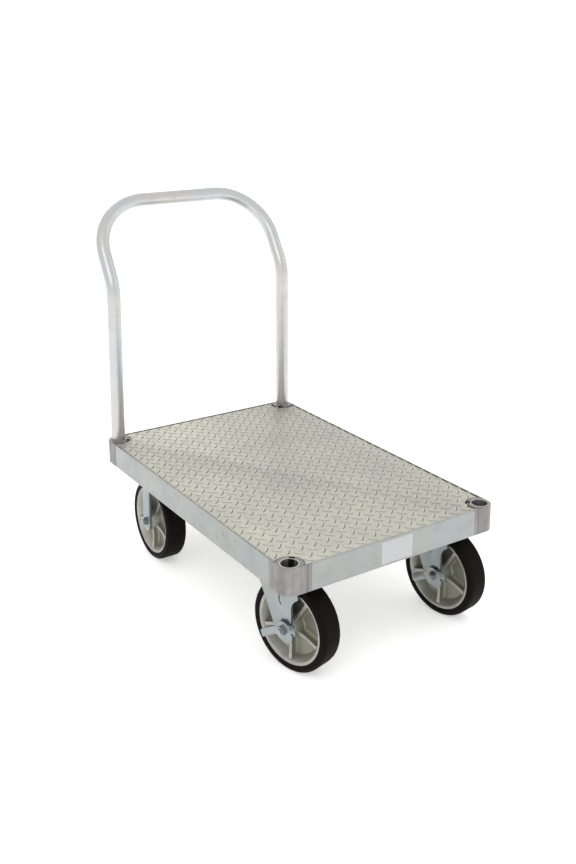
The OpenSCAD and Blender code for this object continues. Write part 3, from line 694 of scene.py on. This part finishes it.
class TRUCK_OT_handle(bpy.types.Operator):
    """Make the bent push handle"""
    bl_idname = "truck.handle"
    bl_label = "Push handle"

    def execute(self, context):
        sizes = context.scene.truck_sizes
        low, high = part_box("handle_tube")
        x = MOUNTS["socket_front_right"]["pos_m"][0]
        radius = high.x - x
        y = low.y + radius
        tube_sides, lean_steps, corner_steps = 56, 14, 28
        angle, bend, corner = sizes.lean_angle, sizes.lean_radius, sizes.corner_radius
        lean = Vector((0, math.sin(angle), math.cos(angle)))
        across = Vector((1, 0, 0))
        begin()
        bpy.ops.mesh.primitive_circle_add(vertices=tube_sides, radius=radius, location=(-x, y, low.z))
        tube = applied(added("push_handle"))
        edit(tube)
        ring = Vector((-x, y, low.z))

        def push(step, pieces=1):
            """Draws the tube's end straight on."""
            nonlocal ring
            for _ in range(pieces):
                bpy.ops.mesh.extrude_region_move(TRANSFORM_OT_translate={"value": step / pieces})
            ring = ring + step

        def swing(centre, axis, amount, steps):
            """Draws the tube's end round a bend."""
            nonlocal ring
            # the operator turns the other way round the axis
            bpy.ops.mesh.spin(steps=steps, angle=-amount, center=centre, axis=axis, use_auto_merge=False)
            ring = turn_about(centre, axis, amount) @ ring

        backward = Vector((0, 1, 0))
        backward_leaning = Vector((0, math.cos(angle), -math.sin(angle)))
        normal = across.cross(lean)
        push(Vector((0, 0, sizes.lean_start - low.z)), 3)
        swing(ring + backward * bend, across, -angle, lean_steps)
        push(lean * (sizes.lean_length - corner))
        swing(ring + across * corner, normal, -math.pi / 2, corner_steps)
        push(across * 2 * (x - corner), 2)
        swing(ring - lean * corner, normal, -math.pi / 2, corner_steps)
        push(-lean * (sizes.lean_length - corner))
        swing(ring + backward_leaning * bend, across, angle, lean_steps)
        push(Vector((0, 0, low.z - ring.z)), 3)
        leave()
        tidy_normals(tube, 1e-5)
        modified(tube, "SOLIDIFY", thickness=sizes.tube_wall, offset=-1.0)
        bevelled(tube, 0.0006, 50)
        coat(tube, "tube")
        smooth(tube, 40)
        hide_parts("handle_tube")
        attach(tube, "handle")
        return {"FINISHED"}


def wheel_place(joint):
    """The matrix that takes a wheel with its axle on X to its joint."""
    axis = Vector(joint["axis"])
    return Matrix.Translation(Vector(joint["pos_m"])) @ Matrix.Rotation(math.atan2(axis.y, axis.x), 4, "Z")


class TRUCK_OT_tyres(bpy.types.Operator):
    """Make the four rubber tyres"""
    bl_idname = "truck.tyres"
    bl_label = "Tyres"

    def execute(self, context):
        low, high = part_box("rear_left_tyre")
        half, outer = (high.x - low.x) / 2, (high.z - low.z) / 2
        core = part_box("rear_left_wheel_core")
        seat = (core[1].z - core[0].z) / 2
        foot, shoulder, crown = 0.0012, 0.0085, 0.016
        groove_floor, groove_edge = half - 0.0007, 0.0003
        # place along the axle, radius, rounding: foot, ring groove, shoulder, crown
        side = [(half - foot, seat, 0.0006), (half, seat + 0.0016, 0.0008), (half, seat + 0.0040, groove_edge),
                (groove_floor, seat + 0.0045, groove_edge), (groove_floor, seat + 0.0052, groove_edge),
                (half, seat + 0.0057, groove_edge), (half, outer - 0.0001, shoulder), (half - crown, outer, 0.004)]
        tyre = turned("tyre", mirrored(side), WHEEL_STEPS)
        face_start, face_full = outer - 0.004, outer - 0.001

        painted_points(tyre, "running_face", lambda co: clamped(
            (math.hypot(co.y, co.z) - face_start) / (face_full - face_start)))
        coat(tyre, "rubber")
        smooth(tyre, 38)
        for wheel in CORNERS:
            copy = copied(tyre, f"tyre_{wheel}", wheel_place(JOINTS[f"{wheel}_spin"]))
            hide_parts(f"{wheel}_tyre")
            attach(copy, f"wheel_{wheel}")
        removed(tyre)
        return {"FINISHED"}


def core_rib(sizes, inner, outer, web, high):
    """One rib standing up from the web along Z, its height along X: flared foot, dished and rounded edge."""
    begin()
    bpy.ops.mesh.primitive_cube_add(size=1.0)
    rib = added("rib")
    rib.dimensions = (high - web, sizes.rib_thickness, outer - inner)
    rib.location = ((high + web) / 2, 0, (outer + inner) / 2)
    applied(rib)
    edit(rib)
    pick(rib, "EDGE", lambda e: abs(e.verts[0].co.x - e.verts[1].co.x) > 1e-4)
    bpy.ops.mesh.subdivide(number_cuts=5)
    pick(rib, "EDGE", lambda e: abs(e.verts[0].co.z - e.verts[1].co.z) > 1e-3)
    bpy.ops.mesh.subdivide(number_cuts=9)
    leave()
    half = sizes.rib_thickness / 2
    foot_flare, end_flare, end_share = 0.0062, 0.00176, 0.28
    draft, dish = 0.18, 0.14
    for vertex in rib.data.vertices:
        rise = (vertex.co.x - web) / (high - web)
        along = (vertex.co.z - inner) / (outer - inner)
        foot = foot_flare * (1 - min(1.0, rise / 0.5)) ** 2
        ends = end_flare * (max(0.0, abs(2 * along - 1) - (1 - end_share)) / end_share) ** 2
        vertex.co.y = math.copysign(half * (1 + draft * (1 - rise)) + foot + ends, vertex.co.y)
        vertex.co.x = web + rise * (high - web) * (1 - dish * math.sin(math.pi * along))
    bevelled(rib, 0.0014, 50, segments=3)
    return rib


class TRUCK_OT_wheel_cores(bpy.types.Operator):
    """Make the four cast wheel cores with their ribs"""
    bl_idname = "truck.wheel_cores"
    bl_label = "Wheel cores"

    def execute(self, context):
        sizes = context.scene.truck_sizes
        low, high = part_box("rear_left_wheel_core")
        hub_half, outer = (high.x - low.x) / 2, (high.z - low.z) / 2
        rim_half, web, hub, bore = 0.025, 0.0045, 0.0235, 0.0150
        lip, wall, wall_foot = outer - 0.0042, outer - 0.0066, outer - 0.0180
        ribs = 5
        # place along the axle, radius, rounding: bore, hub, web, conical wall, lip
        side = [(hub_half, bore, 0.0006), (hub_half, hub, 0.0012), (web, hub + 0.0040, 0.0050),
                (web, wall_foot, 0.0060), (rim_half - 0.0015, wall, 0.0030), (rim_half, lip, 0.0010),
                (rim_half, outer, 0.0007)]
        core = turned("core", mirrored(side), WHEEL_STEPS)
        # the ribs' ends are sunk in the hub, the wall and the web
        rib = core_rib(sizes, hub - 0.004, outer - 0.0085, web - 0.001, rim_half - 0.0028)
        parts = [core]
        for i in range(ribs):
            for flip in (0, 1):
                place = Matrix.Rotation(math.pi + i * math.tau / ribs, 4, "X") @ Matrix.Rotation(flip * math.pi, 4, "Z")
                parts.append(copied(rib, "rib_copy", place))
        core = joined("core", parts)

        def recess(co):
            """How deep a point lies in the recess: clear of the rim, of the hub and of the ribs' edges."""
            radius = math.hypot(co.y, co.z)
            from_rim, from_hub, from_edge = outer - 0.011 - radius, radius - hub + 0.001, 0.0212 - abs(co.x)
            return clamped(from_rim / 0.005) * clamped(from_hub / 0.003) * clamped(from_edge / 0.007)

        # the recess mask carries painted shade and dust
        painted_points(core, "recess", recess)
        coat(core, "core")
        smooth(core, 42)
        for wheel in CORNERS:
            copy = copied(core, f"wheel_core_{wheel}", wheel_place(JOINTS[f"{wheel}_spin"]))
            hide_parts(f"{wheel}_wheel_core")
            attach(copy, f"wheel_{wheel}")
        removed(core, rib)
        return {"FINISHED"}


class TRUCK_OT_rails(bpy.types.Operator):
    """Round and finish the four rails"""
    bl_idname = "truck.rails"
    bl_label = "Rails"

    def execute(self, context):
        sizes = context.scene.truck_sizes
        ledge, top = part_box("deck_plate")[0].z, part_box("deck_plate")[1].z
        joint_bottom, joint_top = ledge - 0.0001, top - 0.0006
        for node, grain in (("side_rail_left", "rail_y"), ("side_rail_right", "rail_y"),
                            ("end_rail_front", "rail_x"), ("end_rail_rear", "rail_x")):
            rail = eased(node, f"{node}_rounded", sizes.rail_edge)
            coat(rail, grain, "gap")
            # painted shade: the faces in the deep joint between the tread plate and the rail get the near-black finish
            for face in rail.data.polygons:
                inward = face.normal.xy.dot(face.center.xy) < -1e-6
                if joint_bottom < face.center.z < joint_top and (face.normal.z > 0.9 or inward):
                    face.material_index = 1
        for node in ("caster_beam_front", "caster_beam_rear", "cross_member"):
            coat(NODES[node], "rail_x")
        return {"FINISHED"}


class TRUCK_OT_castings(bpy.types.Operator):
    """Round and finish the four corner castings"""
    bl_idname = "truck.castings"
    bl_label = "Corner castings"

    def execute(self, context):
        sizes = context.scene.truck_sizes
        bore, boss = 0.01795, 0.029
        lip_offset, lip_wire, lip_flat = 0.0021, 0.0012, 0.35
        shade_sheet_gap, shade_sheet_thickness, shade_sheet_width = 0.0010, 0.0012, 0.0155
        shade_sheet_bottom, shade_sheet_top = 0.00225, 0.00125
        frame_middle = (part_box("deck_plate")[0].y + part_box("deck_plate")[1].y) / 2
        for which in CORNERS:
            node, name = f"corner_{which}", f"corner_casting_{which}"
            corner = eased(node, name, sizes.casting_edge)
            coat(corner, "casting", "edge", "gap")
            low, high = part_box(node)
            middle = (low + high) / 2
            centre = min(socket_centres(), key=lambda c: (c.xy - middle.xy).length)
            begin()
            bpy.ops.mesh.primitive_torus_add(location=(centre.x, centre.y, high.z), major_radius=bore + lip_offset,
                                             minor_radius=lip_wire, major_segments=48, minor_segments=8)
            lip = added("lip")
            lip.scale.z = lip_flat
            applied(lip)
            coat(lip, "edge")
            # a near-black sheet stands behind the slot that opens from the socket into the frame, as painted shade that
            # hides the frame inside
            inward = Vector((-centre.x, -math.copysign(abs(centre.x), centre.y - frame_middle), 0)).normalized()
            place = centre + inward * (boss + shade_sheet_gap)
            place.z = (low.z + shade_sheet_bottom + high.z - shade_sheet_top) / 2
            begin()
            bpy.ops.mesh.primitive_cube_add(size=1.0, location=place, rotation=(0, 0, math.atan2(inward.y, inward.x)))
            shade_sheet = added("shade_sheet")
            shade_sheet.scale = (shade_sheet_thickness, shade_sheet_width, high.z - low.z - shade_sheet_bottom - shade_sheet_top)
            applied(shade_sheet)
            coat(shade_sheet, "gap")
            corner = joined(name, [corner, lip, shade_sheet])
        return {"FINISHED"}


class TRUCK_OT_casters(bpy.types.Operator):
    """Finish the forks, plates and pins"""
    bl_idname = "truck.casters"
    bl_label = "Casters"

    def execute(self, context):
        sizes = context.scene.truck_sizes
        for node, obj in list(NODES.items()):
            if node.endswith(("_fork", "_top_plate", "_brake_cam", "_brake_lever")):
                piece = eased(node, f"{node}_rounded", sizes.steel_edge)
                coat(piece, "zinc")
            elif node.endswith(("_balls", "_rollers", "_bushing", "_bushings", "_thrust_washers")):
                coat(obj, "bearing")
            elif node.endswith(("_kingpin", "_kingpin_nut", "_axle_bolt", "_axle_nut", "_axle_bolts", "_axle_nuts",
                                "caster_bolts", "caster_washers", "caster_nuts")):
                coat(obj, "hardware")
        return {"FINISHED"}


class TRUCK_OT_label(bpy.types.Operator):
    """Finish the blank label"""
    bl_idname = "truck.label"
    bl_label = "Label"

    def execute(self, context):
        coat(NODES["label"], "label")
        return {"FINISHED"}


class TRUCK_OT_stage(bpy.types.Operator):
    """Make the floor, the lights and the camera"""
    bl_idname = "truck.stage"
    bl_label = "Stage"

    def execute(self, context):
        begin()
        bpy.ops.mesh.primitive_grid_add(x_subdivisions=8, y_subdivisions=8, size=FLOOR_SIZE)
        floor = applied(added("studio_floor"))
        coat(floor, "floor")
        world = bpy.data.worlds.new("studio")
        world.use_nodes = True
        context.scene.world = world
        background = world.node_tree.nodes["Background"]
        background.inputs["Color"].default_value = (1.0, 1.0, 1.0, 1.0)
        background.inputs["Strength"].default_value = WORLD_STRENGTH
        for name, place, size, power in LIGHTS:
            bpy.ops.object.light_add(type="AREA", location=place)
            light = bpy.context.object
            light.name = name
            light.data.shape = "DISK"
            light.data.size = size
            light.data.energy = power
            light.rotation_euler = facing(Vector(LIGHTS_AIM) - Vector(place))
        middle = (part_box("deck_plate")[0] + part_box("deck_plate")[1]) / 2
        target = Vector((CAMERA_AIM_X, middle.y, CAMERA_AIM_Z))
        back = Vector((math.sin(CAMERA_AZIMUTH) * math.cos(CAMERA_ELEVATION),
                       -math.cos(CAMERA_AZIMUTH) * math.cos(CAMERA_ELEVATION), math.sin(CAMERA_ELEVATION)))
        bpy.ops.object.camera_add(location=target + back * CAMERA_DISTANCE)
        camera = bpy.context.object
        camera.name = "camera"
        camera.rotation_euler = facing(-back)
        camera.data.sensor_width = CAMERA_SENSOR
        camera.data.lens = CAMERA_LENS
        camera.data.shift_y = CAMERA_SHIFT
        camera.data.dof.use_dof = False
        context.scene.camera = camera
        context.scene.view_settings.view_transform = "Standard"
        return {"FINISHED"}


class TRUCK_PT_panel(bpy.types.Panel):
    """The truck's sizes, colours and pieces"""
    bl_idname = "TRUCK_PT_panel"
    bl_label = "Platform truck"
    bl_space_type = "VIEW_3D"
    bl_region_type = "UI"
    bl_category = "Truck"

    def draw(self, context):
        for group in (context.scene.truck_sizes, context.scene.truck_colours):
            box = self.layout.box()
            for key in group.__annotations__:
                box.prop(group, key)
        for operator in OPERATORS:
            self.layout.operator(operator.bl_idname)


OPERATORS = (TRUCK_OT_stage, TRUCK_OT_rails, TRUCK_OT_castings, TRUCK_OT_tread_plate, TRUCK_OT_handle, TRUCK_OT_tyres,
             TRUCK_OT_wheel_cores, TRUCK_OT_casters, TRUCK_OT_label)
CLASSES = (TruckSizes, TruckColours, *OPERATORS, TRUCK_PT_panel)


def register():
    for cls in CLASSES:
        bpy.utils.register_class(cls)
    bpy.types.Scene.truck_sizes = bpy.props.PointerProperty(type=TruckSizes)
    bpy.types.Scene.truck_colours = bpy.props.PointerProperty(type=TruckColours)


def unregister():
    del bpy.types.Scene.truck_colours
    del bpy.types.Scene.truck_sizes
    for cls in reversed(CLASSES):
        bpy.utils.unregister_class(cls)


def main():
    register()
    bpy.ops.truck.stage()
    bpy.ops.truck.rails()
    bpy.ops.truck.castings()
    bpy.ops.truck.tread_plate()
    bpy.ops.truck.handle()
    bpy.ops.truck.tyres()
    bpy.ops.truck.wheel_cores()
    bpy.ops.truck.casters()
    bpy.ops.truck.label()
    begin()


if __name__ == "__main__":
    main()
